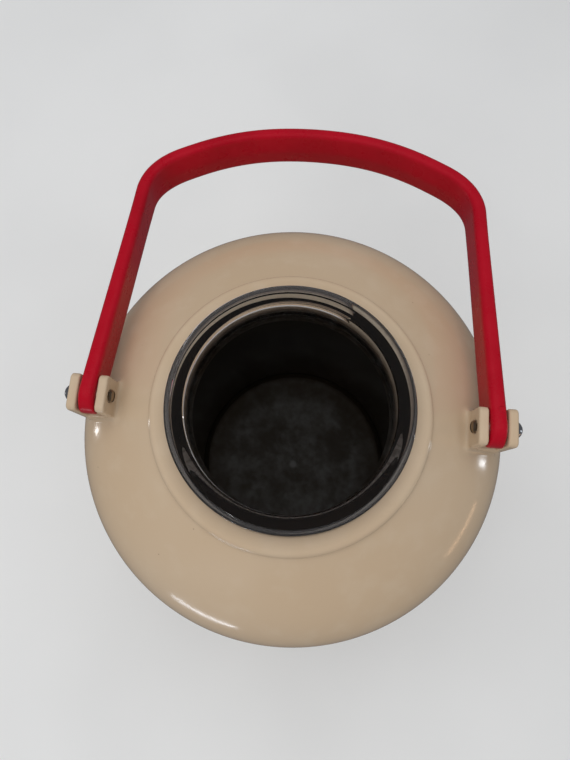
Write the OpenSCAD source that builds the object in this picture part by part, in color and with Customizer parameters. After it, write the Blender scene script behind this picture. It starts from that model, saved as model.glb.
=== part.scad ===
// Insulated pump pot without its pump head: a threaded smoked vessel in a two-part moulded shell,
// with foam between them, a screwed base and a strap bail that swings on two barrel posts.
// The origin is on the surface it stands on, under the mouth. The bail swings about X.

/* [Body] */
// Height of the vessel's lip above the surface the pot stands on
pot_h = 266; // [255:1:290]
// Largest outside radius of the shells
body_r = 91; // [89:0.5:96]
// How far the body tapers in from its widest point down to its bottom edge
body_taper = 7; // [4:0.5:9]
// Depth of the widest point, and of the seam, below the lip
seam_drop = 58; // [56:0.5:66]
// How far inside the body's radius the shoulder's slope starts to turn down
slope_inset = 19; // [17:0.5:21]
// Depth below the lip at that place, if the slope went straight on
slope_drop = 26; // [24:0.5:27]
// Depth below the lip at which the shoulder's curve heads for the side
turn_drop = 36; // [34:0.5:39]
// Wall of both shells
shell_wall = 2.6; // [2:0.1:3.2]
// Height of the lap where the shells join
lap_h = 6; // [4:0.5:8]
// Radius that rounds the lower shell's bottom edge
foot_round = 10; // [6:0.5:12]

/* [Collar] */
// Depth of the collar's flat top below the lip
collar_drop = 9.5; // [9:0.1:11]
// Outside radius of the collar where it meets the shoulder
collar_r = 52.7; // [51:0.1:55]
// Radius that rounds the collar's outer edge
collar_round = 2.8; // [1.5:0.1:3]
// Thickness of the collar's top
collar_wall = 3.1; // [2.6:0.1:3.6]

/* [Vessel] */
// Radius of the mouth's bore
mouth_r = 38; // [35:0.1:38.5]
// Wall of the neck, without its thread
neck_wall = 4.5; // [4:0.1:5.5]
// Height of the thread's crest above the neck
thread_h = 2.2; // [1.5:0.1:2.5]
// Pitch of the neck's thread
thread_pitch = 4.5; // [4:0.1:5]
// Angle that the thread runs through, in degrees
thread_sweep = 498; // [300:6:540]
// Radius of the neck's flange
flange_r = 49.5; // [48:0.1:51]
// Thickness of the neck's flange
flange_t = 3; // [2:0.1:4]
// Space for the insulation between the vessel and the shells, where both are widest
foam_t = 19.4; // [16.4:0.1:24.4]
// Wall of the vessel's body
vessel_wall = 2.6; // [2:0.1:3.4]
// Height of the vessel's underside above the lower shell's base
vessel_lift = 14.2; // [12.2:0.1:18]
// Radius that rounds the vessel's floor into its wall, inside
floor_round = 7; // [4:0.5:10]
// Height of the vessel's own shoulder
vessel_rise = 40; // [34:0.5:44]

/* [Seals and supports] */
// Thickness of the neck seal
seal_t = 2.4; // [1.5:0.1:3]
// Thickness of the cushion under the vessel
cushion_t = 7; // [5:0.5:8]
// Radius of the support plug
plug_r = 17; // [14:0.5:20]
// Depth below the lip of the parting between the two insulation mouldings
foam_split_drop = 116; // [90:1:150]

/* [Base] */
// Height of the foot ring's visible part
foot_stand = 2; // [1.8:0.1:3]
// Thickness of the base cover
cover_t = 2.6; // [2.2:0.1:3.4]
// How far the middle of the foot ring lies inside the base cover's edge
ring_inset = 7; // [5.5:0.5:8]
// Width of the foot ring
foot_ring_w = 6; // [4:0.5:7]
// How far the circle of base screws lies inside the base cover's edge
screw_inset = 17; // [16:0.5:20]
// Number of base screws
screw_count = 4; // [3:1:6]
// Radius of a base screw's shank
base_screw_r = 1.5; // [1.2:0.1:2]

/* [Brackets] */
// How far the middle of each bracket's slot lies inside the body's radius
pivot_inset = 15.2; // [14.8:0.1:16]
// Depth of the bail's pivot below the lip
pivot_drop = 15; // [14:0.1:16]
// Width of a bracket's slot
slot_w = 7.1; // [6.8:0.1:8]
// Thickness of a bracket's ear
ear_t = 3.6; // [3:0.1:4.2]
// Length of an ear, round the pot
ear_l = 14.2; // [12:0.1:15]
// Height of an ear above the pivot
ear_above = 5.5; // [4.5:0.1:6.5]
// Depth of the slot's floor below the pivot
slot_below = 9.2; // [9:0.1:10]

/* [Bail] */
// Angle of the bail below level, as it lies back
bail_rest = 11; // [0:1:12]
// Thickness of the strap
strap_t = 4.6; // [3.5:0.1:5]
// Width of the strap
strap_w = 14.6; // [12:0.1:15]
// Distance from the pivot to the outer face of the grip's middle
bail_reach = 135.7; // [125:0.1:150]
// How far each leg leans in between its pivot and its corner
corner_lean = 3.3; // [0:0.1:6]
// Distance from the pivot to the corners
corner_reach = 107; // [98:0.1:118]
// Length of path over which a corner is rounded
corner_soft = 18; // [8:1:24]
// Exponent of the grip's arch, where 2 is a parabola
arch_power = 2.3; // [2:0.1:3]

/* [Pivots] */
// Outside radius of a post's barrel
post_r = 2.2; // [1.8:0.1:2.6]
// Radius of a post's domed head
head_r = 3.6; // [3.3:0.1:4.5]
// Height of a post's domed head
head_h = 3; // [1.5:0.1:3.2]
// Radius of the slotted screw's head
screw_head_r = 2.4; // [2.3:0.1:3]
// Height of the slotted screw's head
screw_head_h = 1.6; // [1.2:0.1:2]
// Radius of the slotted screw's shank
screw_shank_r = 1.25; // [0.9:0.05:1.4]
// Outside radius of a pivot washer
washer_r = 4; // [3.4:0.1:5]
// Thickness of a pivot washer
washer_t = 0.4; // [0.3:0.05:0.6]

/* [Hidden] */
$fn = 96;
// Clearances: a running fit, a push fit, the space that foam and rubber keep round them, and the
// bail's play on each side between its washers
run_gap = 0.05;
push_gap = 0.1;
soft_gap = 0.3;
side_gap = 0.15;

FOOT_R = body_r - body_taper;
SLOPE_R = body_r - slope_inset;
VESSEL_R = body_r - shell_wall - foam_t;
PIVOT_R = body_r - pivot_inset;
CORNER_X = PIVOT_R - corner_lean;
HUB_T = slot_w - 2 * washer_t - 2 * side_gap;
COVER_R = FOOT_R - foot_round;
FOOT_RING_R = COVER_R - ring_inset;
SCREW_RING_R = COVER_R - screw_inset;
SEAM_Z = pot_h - seam_drop;
COLLAR_Z = pot_h - collar_drop;
CREASE_Z = COLLAR_Z - collar_round - 0.7;
PIVOT_Z = pot_h - pivot_drop;
NECK_R = mouth_r + neck_wall;
CREST_R = NECK_R + thread_h;
COLLAR_BORE = CREST_R + 4 * push_gap;
SEAL_TOP = COLLAR_Z - collar_wall;
FLANGE_TOP = SEAL_TOP - seal_t;
FLANGE_BOTTOM = FLANGE_TOP - flange_t;
SEAT_R = flange_r + 1.5;
VESSEL_R0 = NECK_R - 3;
VESSEL_TOP = FLANGE_BOTTOM - 1;
VESSEL_SHOULDER_Z = VESSEL_TOP - vessel_rise;
COVER_TOP = foot_stand + cover_t;
LEDGE_TOP = COVER_TOP + shell_wall;
VESSEL_BOTTOM = LEDGE_TOP + vessel_lift;
VESSEL_FLOOR = VESSEL_BOTTOM + vessel_wall;
LEDGE_HOLE_R = SCREW_RING_R - 7;
CUSHION_BOTTOM = VESSEL_BOTTOM - cushion_t;
FOAM_SPLIT_Z = pot_h - foam_split_drop;
GROOVE_DEPTH = cover_t / 2;
SOCKET_R = plug_r + 3.5;
PLUG_RECESS = 0.4;
BOSS_R = base_screw_r + 2.4;
BOSS_H = 7;
SCREW_RECESS = 0.5;
LIP_ROUND = 1;
MOUTH_ROUND = neck_wall - LIP_ROUND - push_gap;
THREAD_ROOT = 1.2;
THREAD_CREST = 0.5;
THREAD_SINK = 1;
THREAD_TOP = pot_h - THREAD_ROOT - 2 * push_gap;
THREAD_START = 198;
EAR_ROUND = 2.2;
SHOULDER_STEPS = 24;
GRIP_MID = bail_reach - strap_t / 2;
LEG_STEPS = 16;
ARCH_STEPS = 24;
CORNER_GRAIN = 8;

// The shells' shoulder, as a Bezier curve from the seam up to the collar
function bend(p, t) =
    pow(1 - t, 3) * p[0] + 3 * pow(1 - t, 2) * t * p[1] + 3 * (1 - t) * t * t * p[2] + pow(t, 3) * p[3];
SHOULDER = [for (i = [0 : SHOULDER_STEPS]) bend([[body_r, SEAM_Z], [body_r, pot_h - turn_drop],
    [SLOPE_R, pot_h - slope_drop], [collar_r, CREASE_Z]], i / SHOULDER_STEPS)];

// A line moved sideways by d, to the right of the way it runs
function moved(path, d) =
    let (last = len(path) - 1)
    [for (i = [0 : last])
        let (way = path[min(last, i + 1)] - path[max(0, i - 1)]) path[i] + d * [way[1], -way[0]] / norm(way)];

// The shoulder at depth d below its outside, as far in as radius r_end
function under_shoulder(d, r_end) = [for (p = moved(SHOULDER, -d)) if (p[0] > r_end) p];

// The vessel's shoulder: a quarter ellipse about [r0, z0], from its widest point up to radius r_end
function quarter(r0, z0, run, rise, r_end, n = 22) =
    let (last = acos((r_end - r0) / run))
    [for (i = [0 : n]) [r0 + run * cos(last * i / n), z0 + rise * sin(last * i / n)]];

// A quarter circle about [r, z] from angle a0 to a1
function arc(r, z, rad, a0, a1, n = 6) =
    [for (i = [0 : n]) let (t = a0 + (a1 - a0) * i / n) [r + rad * cos(t), z + rad * sin(t)]];

function reversed(list) = [for (i = [len(list) - 1 : -1 : 0]) list[i]];

// Height of the shoulder's outside at radius r
function shoulder_z(r) = lookup(r, SHOULDER);

module turned(points) { rotate_extrude() polygon(points); }

module ring(r_out, r_in, z0, z1) {
    translate([0, 0, z0]) difference() {
        cylinder(r = r_out, h = z1 - z0);
        translate([0, 0, -1]) cylinder(r = r_in, h = z1 - z0 + 2);
    }
}

// A bar along X from x0 to x1, at the pivot's height
module pivot_bar(r, x0, x1) {
    translate([x0, 0, PIVOT_Z]) rotate([0, 90, 0]) cylinder(r = r, h = x1 - x0);
}

module on_side(side) { if (side < 0) mirror([1, 0, 0]) children(); else children(); }

// ---- Shells ----

// A plate across X with rounded top corners, from z0 up to z1
module ear_plate(x0, x1, z0, z1, r) {
    translate([x0, 0, 0]) rotate([90, 0, 90]) linear_extrude(x1 - x0) union() {
        translate([-ear_l / 2, z0]) square([ear_l, z1 - z0 - r]);
        translate([-ear_l / 2 + r, z0]) square([ear_l - 2 * r, z1 - z0]);
        for (s = [-1, 1]) translate([s * (ear_l / 2 - r), z1 - r]) circle(r = r, $fn = 48);
    }
}

module bracket() {
    slot0 = PIVOT_R - slot_w / 2;
    slot1 = PIVOT_R + slot_w / 2;
    top = PIVOT_Z + ear_above;
    inner_z0 = shoulder_z(slot0 - ear_t) - shell_wall / 2;
    outer_z0 = shoulder_z(norm([slot1 + ear_t, ear_l / 2])) - shell_wall / 2;
    ear_plate(slot0 - ear_t, slot0, inner_z0, top, EAR_ROUND);
    ear_plate(slot1, slot1 + ear_t, outer_z0, top, EAR_ROUND);
    translate([slot0 - 1, -ear_l / 2, outer_z0]) cube([slot_w + 2, ear_l, PIVOT_Z - slot_below - outer_z0]);
}

// All that lies inside the shells' outer wall
module shell_hollow() {
    turned(concat([[0, LEDGE_TOP], [body_r - shell_wall - lap_h, LEDGE_TOP], [body_r - shell_wall, SEAM_Z - lap_h]],
        under_shoulder(shell_wall, SEAT_R), [[SEAT_R, SEAL_TOP], [0, SEAL_TOP]]));
}

module upper_shell() {
    mid = body_r - shell_wall / 2;
    ear_reach = slot_w / 2 + ear_t + 1;
    color("#e6d6b4") difference() {
        union() {
            turned(concat(
                [[body_r - shell_wall, SEAM_Z - lap_h], [mid - push_gap / 2, SEAM_Z - lap_h],
                    [mid - push_gap / 2, SEAM_Z]],
                SHOULDER,
                arc(collar_r - collar_round, COLLAR_Z - collar_round, collar_round, 0, 90),
                [[COLLAR_BORE + 1, COLLAR_Z], [COLLAR_BORE, COLLAR_Z - 1], [COLLAR_BORE, SEAL_TOP],
                    [SEAT_R, SEAL_TOP]],
                reversed(under_shoulder(shell_wall, SEAT_R))));
            for (side = [-1, 1]) on_side(side) difference() {
                bracket();
                shell_hollow();
            }
        }
        for (side = [-1, 1]) on_side(side)
            pivot_bar(post_r + run_gap, PIVOT_R - ear_reach, PIVOT_R + ear_reach);
    }
}

module lower_shell() {
    mid = body_r - shell_wall / 2 + push_gap / 2;
    bend = FOOT_R - foot_round;
    color("#e6d6b4") difference() {
        union() {
            turned(concat(
                [[LEDGE_HOLE_R, COVER_TOP], [COVER_R + push_gap, COVER_TOP], [COVER_R + push_gap, foot_stand]],
                arc(bend, foot_stand + foot_round, foot_round, -90, 0, 8),
                [[body_r, SEAM_Z], [mid, SEAM_Z], [mid, SEAM_Z - lap_h],
                    [body_r - shell_wall, SEAM_Z - lap_h - push_gap]],
                arc(bend, LEDGE_TOP + foot_round - shell_wall, foot_round - shell_wall, 0, -90, 8),
                [[LEDGE_HOLE_R, LEDGE_TOP]]));
            base_pattern() translate([0, 0, LEDGE_TOP - 0.5]) cylinder(r = BOSS_R, h = BOSS_H + 0.5);
        }
        base_pattern() translate([0, 0, COVER_TOP - 1])
            cylinder(r = base_screw_r + run_gap, h = BOSS_H + shell_wall - 0.5);
    }
}

// ---- Base ----

module base_pattern() {
    for (i = [0 : screw_count - 1]) rotate([0, 0, 45 + i * 360 / screw_count])
        translate([SCREW_RING_R, 0, 0]) children();
}

module base_cover() {
    color("#d9c8a4") difference() {
        union() {
            translate([0, 0, foot_stand]) cylinder(r = COVER_R, h = cover_t);
            translate([0, 0, foot_stand]) cylinder(r = SOCKET_R, h = CUSHION_BOTTOM - foot_stand - 1);
        }
        cylinder(r = plug_r + push_gap, h = pot_h / 4);
        ring(FOOT_RING_R + foot_ring_w / 2 + push_gap, FOOT_RING_R - foot_ring_w / 2 - push_gap,
            foot_stand - 1, foot_stand + GROOVE_DEPTH);
        base_pattern() cylinder(r = base_screw_r + 0.3, h = COVER_TOP + 1);
    }
}

module foot_ring() {
    half = foot_ring_w / 2;
    bevel = foot_stand / 3;
    color("#2b2724") turned([[FOOT_RING_R - half + bevel, 0], [FOOT_RING_R + half - bevel, 0],
        [FOOT_RING_R + half, bevel], [FOOT_RING_R + half, foot_stand + GROOVE_DEPTH],
        [FOOT_RING_R - half, foot_stand + GROOVE_DEPTH], [FOOT_RING_R - half, bevel]]);
}

module base_screws() {
    cross_l = 3.6;
    cross_w = 0.7;
    color("#8d8d90") base_pattern() difference() {
        union() {
            translate([0, 0, SCREW_RECESS]) cylinder(r = 2 * base_screw_r, h = foot_stand - SCREW_RECESS);
            translate([0, 0, foot_stand]) cylinder(r = base_screw_r, h = cover_t + BOSS_H);
        }
        for (a = [0, 90]) rotate([0, 0, a])
            translate([-cross_l / 2, -cross_w / 2, 0]) cube([cross_l, cross_w, SCREW_RECESS + cross_w]);
    }
}

module support_plug() {
    slot_depth = 2.5;
    slot_wide = 3.2;
    slot_half = plug_r - 4;
    plug_z = foot_stand + PLUG_RECESS;
    color("#c9b896") difference() {
        translate([0, 0, plug_z]) cylinder(r = plug_r, h = CUSHION_BOTTOM - plug_z);
        translate([-slot_half, -slot_wide / 2, 0]) cube([2 * slot_half, slot_wide, plug_z + slot_depth]);
    }
}

module vessel_cushion() {
    bevel = 1;
    edge_r = plug_r - 1;
    color("#cdbf9f") turned([[0, CUSHION_BOTTOM], [edge_r, CUSHION_BOTTOM],
        [edge_r, VESSEL_BOTTOM - bevel], [edge_r - bevel, VESSEL_BOTTOM], [0, VESSEL_BOTTOM]]);
}

// ---- Vessel ----

// One ring of the thread's section at angle a, measured down the helix from its upper end
function thread_ring(a) =
    let (ramp = 18,
        rise = thread_h * min(1, a / ramp, (thread_sweep - a) / ramp),
        z = THREAD_TOP - thread_pitch * a / 360,
        c = cos(THREAD_START - a), s = sin(THREAD_START - a),
        root = NECK_R - THREAD_SINK, top = NECK_R + max(0.05, rise))
    [for (p = [[root, THREAD_ROOT], [top, THREAD_CREST], [top, -THREAD_CREST], [root, -THREAD_ROOT]])
        [p[0] * c, p[0] * s, z + p[1]]];

module neck_thread() {
    step = 6;
    count = round(thread_sweep / step);
    points = [for (i = [0 : count]) each thread_ring(thread_sweep * i / count)];
    sides = [for (i = [0 : count - 1]) for (j = [0 : 3])
        let (k = (j + 1) % 4) each
            [[4 * i + j, 4 * i + k, 4 * i + 4 + k], [4 * i + j, 4 * i + 4 + k, 4 * i + 4 + j]]];
    ends = [[3, 2, 1, 0], [4 * count, 4 * count + 1, 4 * count + 2, 4 * count + 3]];
    polyhedron(points, concat(sides, ends));
}

module inner_vessel() {
    outer_round = floor_round + vessel_wall;
    bend = VESSEL_R - outer_round;
    run = VESSEL_R - VESSEL_R0;
    outer = quarter(VESSEL_R0, VESSEL_SHOULDER_Z, run, vessel_rise, NECK_R);
    inner = quarter(VESSEL_R0, VESSEL_SHOULDER_Z, run - vessel_wall, vessel_rise - vessel_wall, VESSEL_R0);
    color("#5a3a22", 0.6) union() {
        turned(concat(
            [[0, VESSEL_BOTTOM]],
            arc(bend, VESSEL_BOTTOM + outer_round, outer_round, -90, 0),
            outer,
            [[NECK_R, FLANGE_BOTTOM], [flange_r, FLANGE_BOTTOM], [flange_r, FLANGE_TOP], [NECK_R, FLANGE_TOP]],
            arc(NECK_R - LIP_ROUND, pot_h - LIP_ROUND, LIP_ROUND, 0, 90),
            arc(mouth_r + MOUTH_ROUND, pot_h - MOUTH_ROUND, MOUTH_ROUND, 90, 180),
            [[mouth_r, VESSEL_TOP - vessel_wall]],
            reversed(inner),
            arc(bend, VESSEL_FLOOR + floor_round, floor_round, 0, -90),
            [[0, VESSEL_FLOOR]]));
        neck_thread();
    }
}

module neck_seal() {
    color("#cdbf9f") ring(flange_r, NECK_R + soft_gap, FLANGE_TOP, SEAL_TOP);
}

// ---- Insulation ----

// The space between the vessel and the shells, less the space that the foam keeps from both
module foam_space() {
    run = VESSEL_R - VESSEL_R0;
    skin = shell_wall + soft_gap;
    bend = FOOT_R - foot_round;
    difference() {
        turned(concat([[0, LEDGE_TOP], [bend, LEDGE_TOP]],
            arc(bend, LEDGE_TOP + foot_round - shell_wall, foot_round - skin, -90, 0),
            [[body_r - skin, SEAM_Z - lap_h]],
            under_shoulder(skin, SEAT_R),
            [[SEAT_R, FLANGE_BOTTOM - soft_gap], [0, FLANGE_BOTTOM - soft_gap]]));
        turned(concat([[0, VESSEL_BOTTOM - soft_gap]],
            arc(VESSEL_R - floor_round - vessel_wall, VESSEL_BOTTOM + floor_round + vessel_wall,
                floor_round + vessel_wall + soft_gap, -90, 0),
            quarter(VESSEL_R0, VESSEL_SHOULDER_Z, run + soft_gap, vessel_rise + soft_gap, NECK_R + soft_gap),
            [[NECK_R + soft_gap, pot_h], [0, pot_h]]));
        cylinder(r = SOCKET_R + soft_gap, h = VESSEL_BOTTOM);
        base_pattern() cylinder(r = BOSS_R + soft_gap, h = LEDGE_TOP + BOSS_H + soft_gap);
    }
}

module upper_insulation() {
    color("#f2f2ee") intersection() {
        foam_space();
        translate([0, 0, FOAM_SPLIT_Z]) cylinder(r = body_r, h = pot_h - FOAM_SPLIT_Z);
    }
}

module lower_insulation() {
    color("#f2f2ee") intersection() {
        foam_space();
        cylinder(r = body_r, h = FOAM_SPLIT_Z);
    }
}

// ---- Bail and pivots ----

// The strap's middle line, from the right pivot over the grip to the left, as [x, distance from the pivot]
function corner_path() = concat(
    [for (i = [0 : LEG_STEPS - 1]) let (k = i / LEG_STEPS) [PIVOT_R + (CORNER_X - PIVOT_R) * k, corner_reach * k]],
    [for (i = [-ARCH_STEPS : ARCH_STEPS])
        let (k = -i / ARCH_STEPS)
        [CORNER_X * k, GRIP_MID - (GRIP_MID - corner_reach) * pow(abs(k), arch_power)]],
    [for (i = [LEG_STEPS - 1 : -1 : 0]) let (k = i / LEG_STEPS) [-PIVOT_R - (CORNER_X - PIVOT_R) * k, corner_reach * k]]);

// The same line with its corners rounded: each point becomes the mean of the path around it
function middle_line() =
    let (path = corner_path(), reach = max(1, round(corner_soft / CORNER_GRAIN)), last = len(path) - 1)
    [for (i = [0 : last]) let (k = min(reach, i, last - i))
        [for (axis = [0, 1]) let (near = [for (j = [i - k : i + k]) path[j][axis]])
            near * [for (v = near) 1] / len(near)]];

// The strap's outline, half its thickness to each side of the middle line
function strap_outline(path, half) =
    let (last = len(path) - 1,
        normals = [for (i = [0 : last])
            let (d = path[min(last, i + 1)] - path[max(0, i - 1)]) [d[1], -d[0]] / norm(d)])
    concat([for (i = [0 : last]) path[i] + half * normals[i]],
        [for (i = [last : -1 : 0]) path[i] - half * normals[i]]);

module bail_handle() {
    color("#b3122c") translate([0, 0, PIVOT_Z]) rotate([-bail_rest, 0, 0]) difference() {
        union() {
            translate([0, 0, -strap_w / 2]) linear_extrude(strap_w)
                polygon(strap_outline(middle_line(), strap_t / 2));
            for (side = [-1, 1]) translate([side * PIVOT_R - HUB_T / 2, 0, 0]) rotate([0, 90, 0])
                cylinder(r = strap_w / 2, h = HUB_T);
        }
        for (side = [-1, 1]) translate([side * PIVOT_R - HUB_T, 0, 0]) rotate([0, 90, 0])
            cylinder(r = post_r + run_gap, h = 2 * HUB_T);
    }
}

module pivot_post() {
    outer_x = PIVOT_R + slot_w / 2 + ear_t;
    inner_x = PIVOT_R - slot_w / 2 - ear_t + 0.6;
    bore_end = PIVOT_R + slot_w / 2;
    cap_r = (head_r * head_r + head_h * head_h) / (2 * head_h);
    cap_angle = asin(head_r / cap_r);
    bore = screw_shank_r + run_gap;
    color("#c8c8cc") translate([0, 0, PIVOT_Z]) rotate([0, 90, 0]) turned(concat(
        [[bore, inner_x], [post_r, inner_x], [post_r, outer_x]],
        arc(0, outer_x + head_h - cap_r, cap_r, 90 - cap_angle, 90),
        [[0, bore_end], [bore, bore_end]]));
}

module pivot_screw() {
    face_x = PIVOT_R - slot_w / 2 - ear_t;
    slot = 0.8;
    color("#6b655c") difference() {
        union() {
            pivot_bar(screw_shank_r, face_x - 0.1, PIVOT_R + 1);
            pivot_bar(screw_head_r, face_x - screw_head_h, face_x);
        }
        translate([face_x - screw_head_h - 1, -slot / 2, PIVOT_Z - screw_head_r - 1])
            cube([1 + slot, slot, 2 * screw_head_r + 2]);
    }
}

// A washer against the ear whose slot face is at x
module pivot_washer(x0) {
    color("#efeae0") difference() {
        pivot_bar(washer_r, x0, x0 + washer_t);
        pivot_bar(post_r + run_gap, x0 - 1, x0 + washer_t + 1);
    }
}

module washer_outer() { pivot_washer(PIVOT_R + slot_w / 2 - washer_t); }
module washer_inner() { pivot_washer(PIVOT_R - slot_w / 2); }

module pivot_post_left() { on_side(-1) pivot_post(); }
module pivot_post_right() { on_side(1) pivot_post(); }
module pivot_screw_left() { on_side(-1) pivot_screw(); }
module pivot_screw_right() { on_side(1) pivot_screw(); }
module washer_left_outer() { on_side(-1) washer_outer(); }
module washer_left_inner() { on_side(-1) washer_inner(); }
module washer_right_outer() { on_side(1) washer_outer(); }
module washer_right_inner() { on_side(1) washer_inner(); }

upper_shell();
lower_shell();
base_cover();
base_screws();
foot_ring();
support_plug();
vessel_cushion();
inner_vessel();
neck_seal();
upper_insulation();
lower_insulation();
bail_handle();
pivot_post_left();
pivot_post_right();
pivot_screw_left();
pivot_screw_right();
washer_left_outer();
washer_left_inner();
washer_right_outer();
washer_right_inner();
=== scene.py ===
# %% [markdown]
# # An insulated pump pot with its lid off
# The pot is a tall moulded shell with a smoked vessel inside, a threaded neck in the middle of a
# domed shoulder, and a red strap bail that swings on two posts. The solids come ready made and stay
# where they are. Here each piece that shows gets its true surface and finish, drawn as by hand:
# a line is extruded and spun, a block is bevelled and cut, a ring is extruded along a path.

# %% Open the frame
import math

import bmesh
import bpy
from mathutils import Matrix, Vector


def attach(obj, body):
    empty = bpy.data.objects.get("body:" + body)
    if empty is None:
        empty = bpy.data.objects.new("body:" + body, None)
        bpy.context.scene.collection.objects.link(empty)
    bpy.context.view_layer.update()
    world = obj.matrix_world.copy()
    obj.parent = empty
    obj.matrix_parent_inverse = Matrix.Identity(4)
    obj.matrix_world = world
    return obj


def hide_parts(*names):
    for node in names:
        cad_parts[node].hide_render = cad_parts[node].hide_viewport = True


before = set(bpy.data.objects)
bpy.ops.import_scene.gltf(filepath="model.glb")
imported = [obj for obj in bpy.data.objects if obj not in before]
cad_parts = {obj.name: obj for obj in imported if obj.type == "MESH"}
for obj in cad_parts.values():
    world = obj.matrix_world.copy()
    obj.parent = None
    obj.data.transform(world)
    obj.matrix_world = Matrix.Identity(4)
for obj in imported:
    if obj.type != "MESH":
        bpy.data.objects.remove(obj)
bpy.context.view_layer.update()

MM = 0.001

# %% [markdown]
# ## The view
# The pot is seen from close above its mouth, a little to the front and leaning back, as when someone
# looks down into it. A camera that looks straight down is turned about the pot's axis, tilted, and
# rolled about its own line of sight. That order keeps each angle easy to read.

# %% The camera
scene = bpy.context.scene
EYE, TURN, TILT, ROLL = (0.0052, -0.0349, 0.4627), 10.02, 12.63, -5.09
sight = bpy.data.cameras.new("sight")
sight.lens, sight.sensor_width = 27.05, 36
sight.clip_start, sight.clip_end = 0.01, 20
camera = bpy.data.objects.new("sight", sight)
scene.collection.objects.link(camera)
camera.matrix_world = (Matrix.Translation(EYE)
                       @ Matrix.Rotation(math.radians(TURN), 4, "Z")
                       @ Matrix.Rotation(math.radians(TILT), 4, "X")
                       @ Matrix.Rotation(math.radians(ROLL), 4, "Z"))
scene.camera = camera
print("camera:", [round(v, 3) for v in camera.location])

# %% [markdown]
# ## Floor and light
# A pale floor takes the pot's soft shadow. Gloss doesn't mirror it, so an edge seen aslant keeps its
# own colour.

# %% The floor
def mesh_mode(mode):
    if bpy.context.object and bpy.context.object.mode != mode:
        bpy.ops.object.mode_set(mode=mode)


def fresh():
    """Object mode with nothing selected, which is how each piece starts."""
    mesh_mode("OBJECT")
    bpy.ops.object.select_all(action="DESELECT")


def settle(name):
    """The piece in hand gets its name, and its place goes into its mesh."""
    mesh_mode("OBJECT")
    bpy.ops.object.transform_apply(location=True, rotation=True, scale=True)
    piece = bpy.context.object
    piece.name = piece.data.name = name
    return piece


fresh()
bpy.ops.mesh.primitive_plane_add(size=6)
floor = settle("floor")
floor.visible_glossy = False
print("floor:", floor.dimensions.x, "m wide")

# %% [markdown]
# One wide lamp hangs above and behind, and a weak one fills in from the front. Small low cards all
# round light nothing: gloss plastic mirrors them as the narrow bright streaks along its shoulder.

# %% The lamps
def soft_lamp(name, place, aim, size, power, colour=(1, 1, 1)):
    lamp = bpy.data.lights.new(name, "AREA")
    lamp.shape, lamp.size, lamp.size_y = "RECTANGLE", size[0], size[1]
    lamp.energy, lamp.color = power, colour
    holder = bpy.data.objects.new(name, lamp)
    scene.collection.objects.link(holder)
    holder.location = place
    holder.rotation_euler = (Vector(aim) - Vector(place)).to_track_quat("-Z", "Y").to_euler()
    return holder


SHOULDER_AIM = (0, 0, 0.24)
above = soft_lamp("lamp_above", (-0.12, 0.16, 1.5), (0, 0, 0.15), (1.8, 1.4), 12)
fill = soft_lamp("lamp_fill", (-0.5, -1.3, 0.75), SHOULDER_AIM, (0.6, 0.4), 3.2)
for lamp in (above, fill):
    lamp.visible_glossy = lamp.visible_transmission = False
CARDS = (("card_left", (-0.72, -0.012, 0.058), (0.02, 0.055), 0.07, (1, 1, 1)),
         ("card_right", (0.74, -0.015, 0.12), (0.024, 0.095), 0.12, (0.9, 0.95, 1)),
         ("card_warm", (0.58, -0.24, 0.1), (0.2, 0.02), 0.06, (1, 0.62, 0.36)),
         ("card_front", (-0.21, -0.5, 0.05), (0.2, 0.026), 0.16, (0.86, 0.92, 1)))
for name, place, size, power, tint in CARDS:
    card = soft_lamp(name, place, SHOULDER_AIM, size, power, tint)
    card.visible_diffuse = card.visible_camera = False
print("lamps:", len(bpy.data.lights))

# %% [markdown]
# The world is the pale room. Gloss mirrors it dimmer than it lights, as a room has dark corners, and
# what shows through the clear neck gets a little more of it.

# %% The room
ROOM_LEVEL, MIRRORED_LEVEL, EXTRA_THROUGH = 0.45, 0.13, 0.4
world = bpy.data.worlds.new("room")
scene.world = world
world.use_nodes = True
sky = world.node_tree
backdrop = sky.nodes["Background"]
backdrop.inputs["Color"].default_value = (0.93, 0.95, 1.0, 1)
rays = sky.nodes.new("ShaderNodeLightPath")
level = sky.nodes.new("ShaderNodeMapRange")
level.inputs["To Min"].default_value = ROOM_LEVEL
level.inputs["To Max"].default_value = MIRRORED_LEVEL
through = sky.nodes.new("ShaderNodeMath")
through.operation = "MULTIPLY_ADD"
through.inputs[1].default_value = EXTRA_THROUGH
sky.links.new(rays.outputs["Is Glossy Ray"], level.inputs["Value"])
sky.links.new(rays.outputs["Is Transmission Ray"], through.inputs[0])
sky.links.new(level.outputs["Result"], through.inputs[2])
sky.links.new(through.outputs["Value"], backdrop.inputs["Strength"])
scene.view_settings.view_transform = "Standard"
print("room:", ROOM_LEVEL, "to what it lights,", MIRRORED_LEVEL, "to what mirrors it")

# %% [markdown]
# ## A way to write finishes
# A finish is a small tree of shader nodes. A Signal wraps one socket, so that sums on values read as
# sums; a Bench adds any other node from its type, its settings and what goes into its sockets.

# %% Signals and the bench
class Signal:
    """A value socket that takes part in sums."""

    def __init__(self, bench, socket):
        self.bench, self.socket = bench, socket

    def sum_with(self, operation, other):
        return self.bench.add("Math", {"operation": operation}, {0: self, 1: other})

    def __add__(self, other):
        return self.sum_with("ADD", other)

    def __mul__(self, other):
        return self.sum_with("MULTIPLY", other)


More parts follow.
